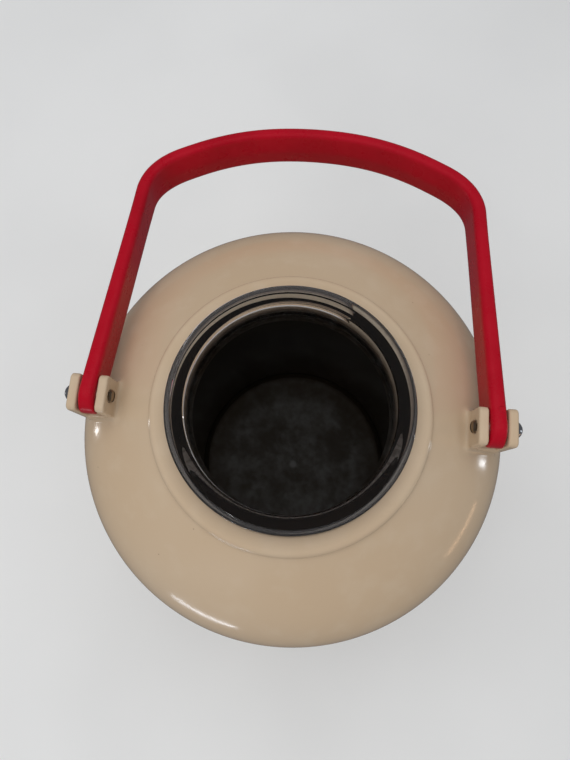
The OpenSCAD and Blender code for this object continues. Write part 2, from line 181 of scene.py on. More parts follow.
class Bench:
    """The node tree of one finish."""

    def __init__(self, name):
        self.finish = bpy.data.materials.new(name)
        self.finish.use_nodes = True
        self.tree = self.finish.node_tree
        self.tree.nodes.clear()
        self.out = self.tree.nodes.new("ShaderNodeOutputMaterial")

    def add(self, kind, settings=None, sockets=None, take=0):
        node = self.tree.nodes.new("ShaderNode" + kind)
        for key, value in (settings or {}).items():
            setattr(node, key, value)
        for key, value in (sockets or {}).items():
            if isinstance(value, Signal):
                self.tree.links.new(value.socket, node.inputs[key])
            else:
                node.inputs[key].default_value = value
        return Signal(self, node.outputs[take])

    def place(self):
        return self.add("TexCoord", take="Object")

    def stretch(self, where, by):
        return self.add("Mapping", None, {"Vector": where, "Scale": by})

    def noise(self, where, scale, detail, rough=0.5):
        return self.add("TexNoise", None, {"Vector": where, "Scale": scale, "Detail": detail,
                                           "Roughness": rough})

    def ease(self, value, low, high, to_low=0.0, to_high=1.0):
        return self.add("MapRange", {"interpolation_type": "SMOOTHSTEP"},
                        {"Value": value, "From Min": low, "From Max": high,
                         "To Min": to_low, "To Max": to_high})

    def mix(self, share, first, second):
        return self.add("Mix", {"data_type": "RGBA"}, {0: share, 6: first, 7: second}, take=2)

    def bump(self, height, strength, distance, under=None):
        sockets = {"Height": height, "Strength": strength, "Distance": distance}
        if under is not None:
            sockets["Normal"] = under
        return self.add("Bump", None, sockets)

    def shade(self, **sockets):
        """One Principled shader, its sockets named with underscores for spaces."""
        named = {key.replace("_", " "): value for key, value in sockets.items()}
        shader = self.add("BsdfPrincipled", None, named)
        self.tree.links.new(shader.socket, self.out.inputs["Surface"])
        return self.finish


def colour(red, green, blue):
    """A colour given as it looks on a screen, from 0 to 255."""
    return tuple((v / 255 / 12.92 if v <= 10 else ((v / 255 + 0.055) / 1.055) ** 2.4)
                 for v in (red, green, blue)) + (1.0,)


def specks(bench, where, scale, size):
    """Small round specks: 1 inside a speck, 0 outside."""
    near = bench.add("TexVoronoi", None, {"Vector": where, "Scale": scale}, take="Distance")
    return bench.ease(near, size * 0.6, size, 1.0, 0.0)


print("bench ready")

# %% [markdown]
# ### Cream shell plastic
# The shells are injection moulded in almond plastic that has aged a little. It is glossy, with a
# very fine orange peel, slow warm patches, a few dust specks and thin rub marks, which only the gloss
# shows.

# %% Cream finish
def cream_plastic():
    b = Bench("cream_plastic")
    where = b.place()
    patches = b.ease(b.noise(where, 14, 2), 0.35, 0.7)
    fine = b.noise(where, 90, 3)
    base = b.mix(patches, colour(196, 174, 147), colour(193, 169, 140))
    base = b.mix(b.ease(fine, 0.45, 0.75) * 0.35, base, colour(201, 181, 155))
    base = b.mix(specks(b, where, 95, 0.035) * 0.45, base, colour(120, 100, 78))
    rubs = b.noise(b.stretch(where, (1, 7, 2)), 260, 2)
    rough = b.ease(fine, 0.3, 0.7, 0.13, 0.17) + b.ease(rubs, 0.66, 0.74) * 0.05
    peel = b.bump(b.noise(where, 420, 2), 0.04, 0.0004)
    return b.shade(Base_Color=base, Roughness=rough, Normal=peel, IOR=1.5)


cream = cream_plastic()
print("finish:", cream.name)

# %% [markdown]
# ### Red bail plastic
# The bail is one thick moulding in a deep, even red. It has soft gloss, faint wipe marks along its
# length, and a few pale dust specks.

# %% Red finish
def red_plastic():
    b = Bench("red_plastic")
    where = b.place()
    slow = b.ease(b.noise(where, 30, 2), 0.3, 0.7)
    fine = b.noise(where, 160, 3)
    base = b.mix(slow, colour(173, 3, 29), colour(161, 2, 25))
    base = b.mix(b.ease(fine, 0.5, 0.8) * 0.3, base, colour(180, 10, 36))
    base = b.mix(specks(b, where, 60, 0.022) * 0.7, base, colour(226, 190, 190))
    wipes = b.noise(b.stretch(where, (1, 1, 9)), 190, 3)
    rough = b.ease(fine, 0.3, 0.7, 0.26, 0.33) + b.ease(wipes, 0.6, 0.75) * 0.07
    peel = b.bump(b.noise(where, 350, 2), 0.06, 0.0004)
    return b.shade(Base_Color=base, Roughness=rough, Normal=b.bump(wipes, 0.05, 0.0003, peel),
                   IOR=1.5, Specular_IOR_Level=0.26)


red = red_plastic()
print("finish:", red.name)

# %% [markdown]
# ### Smoked vessel
# The neck is clear plastic with brown smoke in it, so what is behind it shows, bent and darkened: a
# true clear shader with an even absorption inside does that. Below the neck the same wall stands
# against the dark, so it is drawn as deep brown gloss, with the grey bloom that hard water leaves.

# %% Smoked finishes
def smoked_clear():
    b = Bench("smoked_clear")
    b.shade(Base_Color=(1, 1, 1, 1), Transmission_Weight=1.0, IOR=1.53,
            Roughness=0.03, Specular_Tint=(1, 1, 1, 1))
    depth = b.add("VolumeAbsorption", None, {"Color": (0.52, 0.3, 0.16, 1), "Density": 26.0})
    b.tree.links.new(depth.socket, b.out.inputs["Volume"])
    return b.finish


def smoked_dark(floor_z, matt_z):
    """Gloss walls, a clouded floor with a gate mark, and a matt end above matt_z."""
    b = Bench("smoked_dark")
    where = b.place()
    parts = b.add("SeparateXYZ", None, {"Vector": where}).socket.node.outputs
    x, y, height = [Signal(b, part) for part in parts]
    shifted = y + 3 * MM
    reach = b.add("Math", {"operation": "SQRT"}, {0: x * x + shifted * shifted})
    low = b.ease(height, floor_z + 0.4 * MM, floor_z + 3 * MM, 1.0, 0.0)
    cloud = b.noise(where, 38, 4, 0.62)
    fine = b.noise(where, 150, 5, 0.7)
    bloom = b.ease(cloud, 0.34, 0.64, 0.25, 1.0) * b.ease(fine, 0.3, 0.7, 0.45, 1.0)
    bloom = bloom * b.ease(reach, 44 * MM, 60 * MM, 1.0, 0.3)
    gate = b.ease(reach, 1.2 * MM, 3.8 * MM, 1.0, 0.0)
    base = b.mix(b.ease(b.noise(where, 20, 2), 0.4, 0.7), colour(52, 45, 35), colour(66, 54, 40))
    base = b.mix(low * 0.85, base, colour(96, 82, 66))
    base = b.mix(low * bloom * 0.8, base, colour(172, 171, 168))
    base = b.mix(low * gate * 0.5, base, colour(232, 232, 232))
    rough = low * 0.35 + b.ease(height, matt_z - 0.8 * MM, matt_z, 0.14, 1.0)
    ripple = b.bump(b.noise(where, 60, 2), 0.05, 0.0008)
    ripple = b.bump(fine * low, 0.2, 0.0003, ripple)
    return b.shade(Base_Color=base, Roughness=rough, Normal=ripple, IOR=1.5)


# %% [markdown]
# ### Metal, rubber, foam and the hidden plastics
# The posts are bright plated steel with fine turning rings. The slotted screws have darkened. The
# seals are pale soft rubber, the foot ring black rubber, the insulation is beaded foam, and the base
# parts are a duller plastic with the fine grain of a blasted mould.

# %% Other finishes
def plated(name, tone, low, high, grain=1400):
    b = Bench(name)
    where = b.place()
    streaks = b.noise(b.stretch(where, (1, 0.15, 0.15)), grain, 3)
    stain_and_shade = b.ease(b.noise(where, 300, 3), 0.4, 0.7)
    base = b.mix(stain_and_shade * 0.5, colour(*tone), colour(*[v * 0.7 for v in tone]))
    return b.shade(Base_Color=base, Metallic=1.0, Roughness=b.ease(streaks, 0.3, 0.7, low, high),
                   Normal=b.bump(streaks, 0.08, 0.0001))


def dull(name, tone, rough, grain, depth, second=None):
    b = Bench(name)
    where = b.place()
    slow = b.ease(b.noise(where, grain / 12, 2), 0.35, 0.7)
    fine = b.noise(where, grain, 3)
    base = b.mix(slow, colour(*tone), colour(*(second or [v * 0.93 for v in tone])))
    return b.shade(Base_Color=base, Roughness=b.ease(fine, 0.3, 0.7, rough - 0.05, rough + 0.05),
                   Normal=b.bump(fine, depth, 0.0002))


def rubber_with_painted_shade():
    """Pale rubber, with painted shade in dark brown where it meets the neck."""
    b = Bench("rubber_with_painted_shade")
    where = b.place()
    flat = b.add("VectorMath", {"operation": "MULTIPLY"}, {0: where, 1: (1, 1, 0)})
    reach = b.add("VectorMath", {"operation": "LENGTH"}, {0: flat}, take="Value")
    fine = b.noise(where, 700, 3)
    # Painted shade: a dark brown ring on the inner edge, where the narrow gap between the neck and
    # the collar lies in shade.
    stain_and_shade = b.ease(reach + fine * (0.6 * MM), 43.6 * MM, 44.9 * MM, 0.85, 0.0)
    base = b.mix(stain_and_shade, colour(224, 212, 188), colour(92, 70, 54))
    return b.shade(Base_Color=base, Roughness=b.ease(fine, 0.3, 0.7, 0.45, 0.6),
                   Normal=b.bump(fine, 0.1, 0.0002))


def beaded_foam():
    b = Bench("beaded_foam")
    where = b.place()
    beads = b.add("TexVoronoi", {"feature": "DISTANCE_TO_EDGE"}, {"Vector": where, "Scale": 330},
                  take="Distance")
    seam = b.ease(beads, 0.0, 0.12)
    base = b.mix(seam, colour(196, 196, 190), colour(238, 238, 233))
    return b.shade(Base_Color=base, Roughness=b.ease(seam, 0, 1, 0.9, 0.7),
                   Normal=b.bump(seam, 0.4, 0.0004))


bright = plated("bright_plate", (205, 206, 210), 0.12, 0.24)
bronzed = plated("darkened_steel", (150, 134, 116), 0.3, 0.42, 900)
zinc = plated("zinc_steel", (150, 152, 156), 0.3, 0.42, 900)
seal_rubber = dull("pale_rubber", (196, 178, 148), 0.5, 700, 0.1)
foot_rubber = dull("black_rubber", (42, 39, 37), 0.62, 900, 0.2)
base_plastic = dull("base_plastic", (182, 164, 134), 0.42, 1100, 0.12)
washer_nylon = dull("washer_nylon", (226, 218, 198), 0.38, 900, 0.05)
foam = beaded_foam()
pale_floor = dull("pale_floor", (236, 236, 234), 0.75, 60, 0.02, (231, 231, 229))
floor.data.materials.append(pale_floor)
print("finishes:", len(bpy.data.materials))

# %% [markdown]
# ## Turned pieces
# Everything round on this pot is a line spun about the axis. The line starts as one vertex: a plane
# merged to its centre. The vertex is extruded from point to point, then the line is spun all the way
# round, its doubles are merged, and its faces are turned outward.

# %% Draw and spin
FINE_STEPS = 192


def upright(r, z):
    return Vector((r, 0, z))


def draw(points, plane):
    """One vertex is extruded through the points, given in millimetres."""
    fresh()
    bpy.ops.mesh.primitive_plane_add(size=0.001)
    mesh_mode("EDIT")
    bpy.ops.mesh.select_all(action="SELECT")
    bpy.ops.mesh.merge(type="CENTER")
    path = [plane(*p) * MM for p in points]
    bpy.ops.transform.translate(value=path[0])
    for here, there in zip(path, path[1:]):
        bpy.ops.mesh.extrude_region_move(TRANSFORM_OT_translate={"value": there - here})


def tidy_mesh(gap=0.002):
    bpy.ops.mesh.select_all(action="SELECT")
    bpy.ops.mesh.remove_doubles(threshold=gap * MM)
    bpy.ops.mesh.normals_make_consistent(inside=False)


def smooth(piece, angle=32):
    fresh()
    piece.select_set(True)
    bpy.context.view_layer.objects.active = piece
    bpy.ops.object.shade_smooth_by_angle(angle=math.radians(angle))
    return piece


def spun(name, points, steps, centre=(0, 0, 0), axis=(0, 0, 1), plane=upright):
    draw(points, plane)
    bpy.ops.mesh.select_all(action="SELECT")
    bpy.ops.mesh.spin(steps=steps, angle=math.tau, center=[c * MM for c in centre], axis=axis)
    tidy_mesh()
    return smooth(settle(name))


def arc(r, z, radius, start, end, count):
    """Points on an arc about [r, z], with the angles in degrees."""
    turns = [math.radians(start + (end - start) * i / count) for i in range(count + 1)]
    return [(r + radius * math.cos(t), z + radius * math.sin(t)) for t in turns]


def wear(piece, finish, body, slot, *nodes):
    """The piece takes its finish, rides on its body, and stands for its nodes."""
    piece.data.materials.clear()
    piece.data.materials.append(finish)
    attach(piece, body)
    if nodes:
        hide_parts(*nodes)
    print(piece.name + ":", len(piece.data.polygons), "faces")


# %% [markdown]
# ## The shells' lines
# The shoulder is one long curve from the widest point up to the collar, drawn as a Bezier curve with
# four points. Inside, the same curve is set in by the wall. Both are written once and read by the
# shell, the brackets' feet and the hollow that trims them.

# %% Sizes of the shells
LIP = 266.0
BODY_R, SEAM_Z = 91.0, LIP - 58.0
COLLAR_R, COLLAR_Z = 52.7, LIP - 9.5
COLLAR_ROUND = 2.8
CREASE_Z = COLLAR_Z - COLLAR_ROUND - 0.7
WALL = 2.6
LAP_H, FIT, SEAM_EASE = 6.0, 0.1, 0.35
BEND = [(BODY_R, SEAM_Z), (BODY_R, LIP - 36.0), (72.0, LIP - 26.0), (COLLAR_R, CREASE_Z)]


def shoulder_point(t):
    weights = [(1 - t) ** 3, 3 * (1 - t) ** 2 * t, 3 * (1 - t) * t * t, t ** 3]
    return tuple(sum(w * p[k] for w, p in zip(weights, BEND)) for k in (0, 1))


def moved(line, depth):
    """A line set in by depth, to the left of the way it runs."""
    out = []
    for i, p in enumerate(line):
        a, b = line[max(0, i - 1)], line[min(len(line) - 1, i + 1)]
        way = Vector((b[0] - a[0], b[1] - a[1])).normalized()
        out.append((p[0] - depth * way.y, p[1] + depth * way.x))
    return out


SHOULDER = [shoulder_point(i / 56) for i in range(57)]


def shoulder_z(r):
    """Height of the shoulder's outside at radius r."""
    for (r0, z0), (r1, z1) in zip(SHOULDER, SHOULDER[1:]):
        if r1 <= r <= r0:
            return z0 + (z1 - z0) * (r0 - r) / (r0 - r1)
    return SEAM_Z if r > BODY_R else SHOULDER[-1][1]


print("shoulder at r 70:", round(shoulder_z(70), 1), "mm up")

# %% [markdown]
# ## Upper shell
# The moulding carries the collar, which stands up from the dome in a crisp crease and rolls over to a
# flat ring round the neck. Its lower edge laps inside the lower shell, and both edges at the seam are
# eased a little, so that a fine groove shows there.

# %% Upper shell
SEAT_R, COLLAR_BORE, SEAL_TOP = 51.0, 45.1, COLLAR_Z - 3.1
lap = BODY_R - WALL / 2 - FIT / 2
upper_line = ([(BODY_R - WALL, SEAM_Z - LAP_H), (lap, SEAM_Z - LAP_H), (lap, SEAM_Z),
               (BODY_R - SEAM_EASE, SEAM_Z + 0.02), (BODY_R - 0.1, SEAM_Z + 0.12),
               (BODY_R, SEAM_Z + SEAM_EASE)]
              + [p for p in SHOULDER[1:-1] if p[1] > SEAM_Z + 1]
              + [(COLLAR_R + 0.5, CREASE_Z - 0.33), (COLLAR_R + 0.16, CREASE_Z - 0.05),
                 (COLLAR_R, CREASE_Z + 0.4)]
              + arc(COLLAR_R - COLLAR_ROUND, COLLAR_Z - COLLAR_ROUND, COLLAR_ROUND, 0, 90, 10)
              + arc(COLLAR_BORE + 0.9, COLLAR_Z - 0.9, 0.9, 90, 180, 5)
              + [(COLLAR_BORE, SEAL_TOP), (SEAT_R, SEAL_TOP)]
              + [p for p in reversed(moved(SHOULDER, WALL)) if p[0] > SEAT_R]
              + [(BODY_R - WALL, SEAM_Z - LAP_H)])
upper = spun("upper_shell_moulding", upper_line, steps=FINE_STEPS)
print("upper shell:", [round(v * 1000, 1) for v in upper.dimensions], "mm")

# %% [markdown]
# ### Brackets
# Each bracket is a block with rounded shoulders, cut by a slot for the bail's leg and bored for the
# post. Cutters do the slot and the bore, a bevel softens every edge, and a copy of the shell's hollow
# trims the block's foot inside the wall, so that nothing shows within.

# %% Blocks and cutters
PIVOT_R, PIVOT_Z = 75.8, LIP - 15.0
SLOT_W, EAR_T, EAR_L, BORE_R, BLOCK_LOW = 7.1, 3.6, 14.2, 2.25, 224
EAR_TOP = PIVOT_Z + 5.5
SLOT_FLOOR = PIVOT_Z - 9.2
FOOT_X = (PIVOT_R - SLOT_W / 2 - EAR_T, PIVOT_R + SLOT_W / 2 + EAR_T)


def block(name, low, high):
    fresh()
    middle = [(a + b) / 2 * MM for a, b in zip(low, high)]
    bpy.ops.mesh.primitive_cube_add(size=1, location=middle)
    bpy.context.object.scale = [(b - a) * MM for a, b in zip(low, high)]
    return settle(name)


def bevel_edges(piece, wanted, width, segments):
    """Bevels the edges whose two ends pass the test."""
    fresh()
    bpy.context.view_layer.objects.active = piece
    mesh_mode("EDIT")
    bpy.ops.mesh.select_mode(type="EDGE")
    bpy.ops.mesh.select_all(action="DESELECT")
    mesh = bmesh.from_edit_mesh(piece.data)
    for edge in mesh.edges:
        edge.select_set(wanted(edge.verts[0].co / MM, edge.verts[1].co / MM))
    bmesh.update_edit_mesh(piece.data)
    bpy.ops.mesh.bevel(offset=width * MM, segments=segments, affect="EDGES")
    bpy.ops.mesh.select_mode(type="VERT")
    mesh_mode("OBJECT")


def along_x(a, b):
    return abs(a.x - b.x) > 0.5 and abs(a.y - b.y) < 1e-3 and abs(a.z - b.z) < 1e-3


def along_y(a, b):
    return abs(a.y - b.y) > 0.5 and abs(a.x - b.x) < 1e-3 and abs(a.z - b.z) < 1e-3


def cut(piece, cutter, operation="DIFFERENCE"):
    fresh()
    bpy.context.view_layer.objects.active = piece
    step = piece.modifiers.new("cut", "BOOLEAN")
    step.operation, step.object, step.solver = operation, cutter, "EXACT"
    bpy.ops.object.modifier_apply(modifier=step.name)
    bpy.data.objects.remove(cutter)


def x_bar(name, radius, x0, x1):
    fresh()
    bpy.ops.mesh.primitive_cylinder_add(vertices=48, radius=radius * MM, depth=abs(x1 - x0) * MM,
                                        location=((x0 + x1) / 2 * MM, 0, PIVOT_Z * MM),
                                        rotation=(0, math.pi / 2, 0))
    return settle(name)


def soften(piece, width, segments):
    fresh()
    bpy.context.view_layer.objects.active = piece
    step = piece.modifiers.new("soften", "BEVEL")
    step.width, step.segments = width * MM, segments
    step.limit_method, step.angle_limit = "ANGLE", math.radians(30)
    bpy.ops.object.modifier_apply(modifier=step.name)


def hollow_core():
    line = moved(SHOULDER, WALL * 0.6)
    low = [(0, SEAM_Z - 10), (line[0][0], SEAM_Z - 10)]
    return spun("core", low + line + [(0, line[-1][1])], steps=128)


bracket = block("bracket_right", (FOOT_X[0], -EAR_L / 2, BLOCK_LOW), (FOOT_X[1], EAR_L / 2, EAR_TOP))
bevel_edges(bracket, lambda a, b: along_x(a, b) and a.z > EAR_TOP - 0.1,
            width=2.2, segments=8)
slot = block("slot", (PIVOT_R - SLOT_W / 2, -20, SLOT_FLOOR), (PIVOT_R + SLOT_W / 2, 20, EAR_TOP + 5))
bevel_edges(slot, lambda a, b: along_y(a, b) and a.z < SLOT_FLOOR + 0.1,
            width=0.8, segments=4)
cut(bracket, slot)
cut(bracket, x_bar("bore", BORE_R, FOOT_X[0] - 3, FOOT_X[1] + 3))
soften(bracket, width=0.8, segments=4)
cut(bracket, hollow_core())
print("bracket:", len(bracket.data.polygons), "faces")

# %% [markdown]
# Moulded plastic never meets plastic in a bare corner. A skirt of soft concave fillet runs round the
# bracket's foot: a ring of the foot's outline is extruded outward step by step, each ring lower and
# wider, until it lies on the dome. Its back goes down into the wall, which closes it.

# %% The skirt at a bracket's foot
FILLET_OUT, FILLET_IN = 1.7, 3.6


def outline(grow, corner=0.5, per_side=10, per_corner=6):
    """The foot's outline, grown outward, as points that keep their places from ring to ring."""
    x0, x1, y1 = FOOT_X[0] + corner, FOOT_X[1] - corner, EAR_L / 2 - corner
    centres = [(x1, y1, 0), (x0, y1, 90), (x0, -y1, 180), (x1, -y1, 270)]
    out = []
    for n, (cx, cy, start) in enumerate(centres):
        out += arc(cx, cy, corner + grow, start, start + 90, per_corner)
        (x, y), (nx, ny, _) = out[-1], centres[(n + 1) % 4]
        out += [(x + (nx - cx) * i / per_side, y + (ny - cy) * i / per_side)
                for i in range(1, per_side)]
    return out


def set_ring(piece, before, after):
    """The vertices that were extruded from the ring before go to their places on the ring after."""
    mesh = bmesh.from_edit_mesh(piece.data)
    chosen = [v for v in mesh.verts if v.select]
    for v in chosen:
        nearest = min(range(len(before)), key=lambda i: (before[i] - v.co).length_squared)
        v.co = after[nearest]
    bmesh.update_edit_mesh(piece.data)


def extrude_rings(name, rings, filled):
    """A first ring is drawn, then extruded from ring to ring. Its two ends are filled, or joined."""
    fresh()
    bpy.ops.mesh.primitive_circle_add(vertices=len(rings[0]), radius=0.01,
                                      fill_type="NGON" if filled else "NOTHING")
    mesh_mode("EDIT")
    piece = bpy.context.object
    mesh = bmesh.from_edit_mesh(piece.data)
    mesh.verts.ensure_lookup_table()
    for v, place in zip(mesh.verts, rings[0]):
        v.co = place
    bmesh.update_edit_mesh(piece.data)
    bpy.ops.mesh.select_all(action="SELECT")
    for before, after in zip(rings, rings[1:]):
        bpy.ops.mesh.extrude_region_move(TRANSFORM_OT_translate={"value": (0, 0, 0)})
        set_ring(piece, before, after)
    tidy_mesh(0.0005)
    return settle(name)


def skirt(name):
    """A closed ring of concave fillet between the block's sides and the dome."""
    steps = 9

    def ring(share_out, rise):
        points = []
        for (x, y), (ox, oy) in zip(outline(0), outline(1)):
            inward = max(0.0, min(1.0, (PIVOT_R - x) / (PIVOT_R - FOOT_X[0])))
            reach = FILLET_OUT + (FILLET_IN - FILLET_OUT) * inward
            px, py = x + (ox - x) * reach * share_out, y + (oy - y) * reach * share_out
            points.append(Vector((px, py, shoulder_z(math.hypot(px, py)) + reach * rise)) * MM)
        return points

    rings = [ring((i / steps) ** 1.9, (1 - i / steps) ** 2.1 - 0.004) for i in range(steps + 1)]
    rings += [ring(0.9, -0.35), ring(-0.25, -0.35), ring(-0.25, 0.9), rings[0]]
    return extrude_rings(name, rings, filled=False)


foot = skirt("skirt_right")
print("skirt:", len(foot.data.polygons), "faces")

# %% Both brackets become part of the shell
def mirrored(piece, name):
    fresh()
    piece.select_set(True)
    bpy.context.view_layer.objects.active = piece
    bpy.ops.object.duplicate()
    twin = bpy.context.object
    twin.scale.x = -1
    bpy.ops.object.transform_apply(scale=True)
    mesh_mode("EDIT")
    tidy_mesh()
    return settle(name)


def joined(target, *others):
    fresh()
    for piece in others:
        piece.select_set(True)
    target.select_set(True)
    bpy.context.view_layer.objects.active = target
    bpy.ops.object.join()
    return target


left_parts = [mirrored(bracket, "bracket_left"), mirrored(foot, "skirt_left")]
upper = smooth(joined(upper, bracket, foot, *left_parts), 40)
wear(upper, cream, "pot", "shell_cream", "upper_shell")

# %% [markdown]
# ## Lower shell
# A tall tapered wall with a round bottom edge. It is spun from one line, and its top edge is eased
# where it meets the upper shell.

# %% Lower shell
FOOT_R, FOOT_ROUND, STAND, COVER_R, LEDGE_HOLE = 84.0, 10.0, 2.0, 74.0, 50.0
cover_top = STAND + 2.6
ledge_top = cover_top + WALL
bend, wall_low = FOOT_R - FOOT_ROUND, STAND + FOOT_ROUND
wall_high, lap_low = SEAM_Z - SEAM_EASE, SEAM_Z - LAP_H - FIT
lower_line = ([(LEDGE_HOLE, cover_top), (COVER_R + FIT, cover_top), (COVER_R + FIT, STAND + 0.4),
               (COVER_R + 0.5, STAND)]
              + arc(bend, wall_low, FOOT_ROUND, -87, 0, 14)
              + [(FOOT_R + (BODY_R - FOOT_R) * i / 12, wall_low + (wall_high - wall_low) * i / 12)
                 for i in range(1, 13)]
              + [(BODY_R - 0.1, SEAM_Z - 0.12), (BODY_R - SEAM_EASE, SEAM_Z - 0.02),
                 (lap + FIT, SEAM_Z - 0.02), (lap + FIT, lap_low), (BODY_R - WALL, lap_low)]
              + arc(bend, ledge_top + FOOT_ROUND - WALL, FOOT_ROUND - WALL, 0, -90, 10)
              + [(LEDGE_HOLE, ledge_top), (LEDGE_HOLE, cover_top)])
lower = spun("lower_shell_moulding", lower_line, steps=FINE_STEPS)
wear(lower, cream, "pot", "shell_cream", "lower_shell")

# %% [markdown]
# ## The vessel
# The neck is spun, with a full round lip that swells outward into a bead. A thread is extruded ring
# by ring down a helix round it. The two are then made one surface, as light must cross it only once
# on its way in. The thread starts under the bead and sinks into the wall at both ends. The body below
# is a second turned piece, closed against the neck.

# %% The neck and its thread
MOUTH_R, NECK_R, THREAD_H, PITCH, SWEEP = 38.0, 42.5, 2.2, 4.5, 498.0
CROWN, DROP, BEAD_R, BEAD_DROP, BEAD_ROUND, THREAD_TOP = 3.2, 1.7, 44.75, 1.5, 1.2, LIP - 1.4
FLANGE_R, FLANGE_TOP, FLANGE_BOTTOM, FLANGE_EASE = 49.5, LIP - 15.0, LIP - 18.0, 0.4
THREAD_START, THREAD_STEP, THREAD_HALF, FADE_IN, FADE_OUT = 198, 1.5, 1.3, 60, 8
THREAD_ROOT, THREAD_SUNK = 0.8, 0.3
VESSEL_TOP = FLANGE_BOTTOM - 1.0
neck_low, crown_r, bead_z = VESSEL_TOP - 2.6, MOUTH_R + CROWN, LIP - BEAD_DROP
quarter_turn = [math.radians(7.5 * i) for i in range(13)]
neck_line = ([(MOUTH_R, neck_low + 2.4 * i) for i in range(9)]
             + [(MOUTH_R + CROWN * (1 - math.cos(t)), LIP - DROP + DROP * math.sin(t))
                for t in quarter_turn]
             + [(crown_r + (BEAD_R - crown_r) * math.sin(t), bead_z + BEAD_DROP * math.cos(t))
                for t in quarter_turn[1:-1]]
             + arc(BEAD_R - BEAD_ROUND, bead_z, BEAD_ROUND, 0, -80, 8)
             + [(NECK_R + 0.3, bead_z - 1.35), (NECK_R, bead_z - 1.7),
                (NECK_R, FLANGE_TOP + FLANGE_EASE), (NECK_R + FLANGE_EASE, FLANGE_TOP),
                (FLANGE_R - FLANGE_EASE, FLANGE_TOP),
                (FLANGE_R, FLANGE_TOP - FLANGE_EASE), (FLANGE_R, FLANGE_BOTTOM + FLANGE_EASE),
                (FLANGE_R - FLANGE_EASE, FLANGE_BOTTOM), (NECK_R, FLANGE_BOTTOM),
                (NECK_R, neck_low), (MOUTH_R, neck_low)])
neck = spun("vessel_neck", neck_line, steps=288)


def thread_rings():
    """The thread's section, from its root inside the wall, at each step down the helix."""
    rings = []
    for i in range(int(SWEEP / THREAD_STEP) + 1):
        along = THREAD_STEP * i
        rise, fall = min(1.0, along / FADE_IN), min(1.0, (SWEEP - along) / FADE_OUT)
        stands = rise * rise * (3 - 2 * rise) * math.sqrt(fall)
        turn, middle = math.radians(THREAD_START - along), THREAD_TOP - PITCH * along / 360
        full = (THREAD_H + THREAD_SUNK) * stands
        line = ([(-THREAD_ROOT, THREAD_HALF)]
                + [(full * math.sin(math.radians(a)) ** 0.7 - THREAD_SUNK,
                    THREAD_HALF * math.cos(math.radians(a))) for a in range(6, 175, 12)]
                + [(-THREAD_ROOT, -THREAD_HALF)])
        out_x, out_y = math.cos(turn), math.sin(turn)
        rings.append([Vector(((NECK_R + h) * out_x, (NECK_R + h) * out_y, middle + z)) * MM
                      for h, z in line])
    return rings


thread = extrude_rings("thread", thread_rings(), filled=True)
cut(neck, thread, "UNION")
smooth(neck, 40)
wear(neck, smoked_clear(), "pot", "vessel_smoke", "inner_vessel")

# %% The vessel's body
VESSEL_R, V_WALL, V_FLOOR, V_RISE, V_ROUND = 69.0, 2.6, LIP - 242.0, 40.0, 7.0
V_R0 = NECK_R - 3
v_shoulder = VESSEL_TOP - V_RISE


def quarter(run, rise, r_end, count=26):
    """The vessel's shoulder, part of an ellipse, from its side up to the radius r_end."""
    last = math.acos((r_end - V_R0) / run)
    turns = [last * i / count for i in range(count + 1)]
    return [(V_R0 + run * math.cos(t), v_shoulder + rise * math.sin(t)) for t in turns]


out_round = V_ROUND + V_WALL
body_line = ([(0, V_FLOOR - V_WALL)]
             + arc(VESSEL_R - out_round, V_FLOOR - V_WALL + out_round, out_round, -90, 0, 8)
             + quarter(VESSEL_R - V_R0, V_RISE, NECK_R)
             + [(NECK_R, VESSEL_TOP - 2.55), (MOUTH_R + 0.02, VESSEL_TOP - 2.55),
                (MOUTH_R + 0.02, VESSEL_TOP - 2.75)]
             + list(reversed(quarter(VESSEL_R - V_R0 - V_WALL, V_RISE - V_WALL, V_R0)))
             + arc(VESSEL_R - out_round, V_FLOOR + V_ROUND, V_ROUND, 0, -90, 10)
             + [(18, V_FLOOR), (3.2, V_FLOOR), (2.6, V_FLOOR + 0.5), (1.2, V_FLOOR + 0.65),
                (0, V_FLOOR + 0.65)])
vessel = spun("vessel_body", body_line, steps=160)
dark = smoked_dark(V_FLOOR * MM, (VESSEL_TOP - 3.4) * MM)
wear(vessel, dark, "pot", "vessel_smoke", "inner_vessel")

# %% [markdown]
# ## The bail
# The bail is a strap that stands on edge: from one leg's end, up the leg, round a soft corner, over a
# flat arch and down again. A ring with the strap's section is extruded along that line. The legs end
# round, and thicken softly towards the post. Over the grip the strap is broader and its inner face
# rises to a low ridge, which is what the fingers feel. Each leg bears the shallow round mark of a
# mould's ejector pin.

# %% The bail's line
REST = 11.0
STRAP_W, HUB_T, LEG_T = 14.6, 6.0, 5.7
GRIP_W, GRIP_INSET, RIDGE = 16.8, 0.75, 0.9
CORNER_X, CORNER_REACH, GRIP_MID, ARCH = 72.5, 107.0, 133.4, 2.3


def bail_line(legs=66, arch=120, reach=7):
    """The middle of the strap, with its points evenly spaced and its corners smoothed."""
    leg = [(PIVOT_R + (CORNER_X - PIVOT_R) * i / legs, CORNER_REACH * i / legs) for i in range(legs)]
    over = [(-CORNER_X * i / arch, GRIP_MID - (GRIP_MID - CORNER_REACH) * abs(i / arch) ** ARCH)
            for i in range(-arch, arch + 1)]
    raw = leg + over + [(-x, y) for x, y in reversed(leg)]
    spaced, travelled = [raw[0]], 0.0
    for a, b in zip(raw, raw[1:]):
        travelled += math.dist(a, b)
        if travelled >= 1.6:
            spaced.append(b)
            travelled = 0.0
    spaced.append(raw[-1])
    out = []
    for i in range(len(spaced)):
        k = min(reach, i, len(spaced) - 1 - i)
        near = spaced[i - k:i + k + 1]
        out.append((sum(p[0] for p in near) / len(near), sum(p[1] for p in near) / len(near)))
    return out


line = bail_line()
print("bail line:", len(line), "points")

